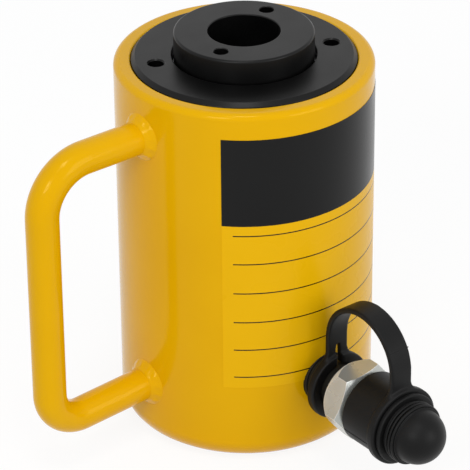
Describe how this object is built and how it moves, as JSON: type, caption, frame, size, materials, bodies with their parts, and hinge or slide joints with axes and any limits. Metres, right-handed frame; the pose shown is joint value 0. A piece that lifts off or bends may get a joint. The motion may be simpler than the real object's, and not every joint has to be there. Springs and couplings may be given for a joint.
{
  "type": "hollow plunger hydraulic jack",
  "caption": "Short hydraulic jack with a hollow plunger, a through bore, a side carrying handle and a capped quick coupler near the base.",
  "frame": {"origin": "centre of the base face, on the axis of the through bore", "axes": "+Z along the plunger's lifting direction, -Y out of the hose coupler, -X out to the carrying handle"},
  "size_m": [0.1492, 0.1615, 0.16],
  "materials": {
    "yellow_paint": "gloss industrial enamel over machined steel",
    "black_oxide": "turned steel, black oxide",
    "hard_chrome": "ground and hard chromed",
    "machined_steel": "bright turned, oiled",
    "zinc_plate": "bright zinc plate",
    "spring_steel": "oil tempered wire",
    "bronze": "bearing bronze",
    "black_rubber": "moulded rubber, satin",
    "seal_polyurethane": "moulded polyurethane",
    "ptfe": "white filled PTFE"
  },
  "bodies": {
    "cylinder": {"cylinder_body": "yellow_paint", "carry_handle": "yellow_paint", "handle_welds": "yellow_paint", "centre_tube": "hard_chrome", "tube_bearing": "bronze", "tube_seal": "black_rubber", "gland_ring": "black_oxide", "gland_bearing": "bronze", "rod_wiper": "black_rubber", "return_spring": "spring_steel", "port_washer": "zinc_plate", "port_nipple": "zinc_plate", "coupler_body": "zinc_plate", "mouth_seal": "black_rubber", "valve_guide": "machined_steel", "poppet_spring": "spring_steel", "cap_strap": "black_rubber"},
    "plunger": {"plunger": "hard_chrome", "saddle": "black_oxide", "piston_seal": "seal_polyurethane", "piston_backup_ring": "ptfe", "piston_guide_ring": "bronze", "inner_seal": "seal_polyurethane", "stop_tube": "machined_steel"},
    "valve": {"coupler_poppet": "machined_steel"},
    "cap": {"dust_cap": "black_rubber"}
  },
  "joints": [
    {"name": "plunger_slide", "type": "slide", "parent": "cylinder", "child": "plunger", "axis": [0, 0, 1], "range_m": [0, 0.05], "stiffness_N_per_m": 6000, "springref_m": -0.03, "deforming": ["return_spring"]},
    {"name": "poppet_press", "type": "slide", "parent": "cylinder", "child": "valve", "axis": [0, 1, 0], "range_m": [0, 0.003], "stiffness_N_per_m": 800, "springref_m": -0.004, "deforming": ["poppet_spring"]},
    {"name": "cap_pull", "type": "slide", "parent": "cylinder", "child": "cap", "axis": [0, -1, 0], "range_m": [0, 0.022], "deforming": ["cap_strap"]}
  ]
}
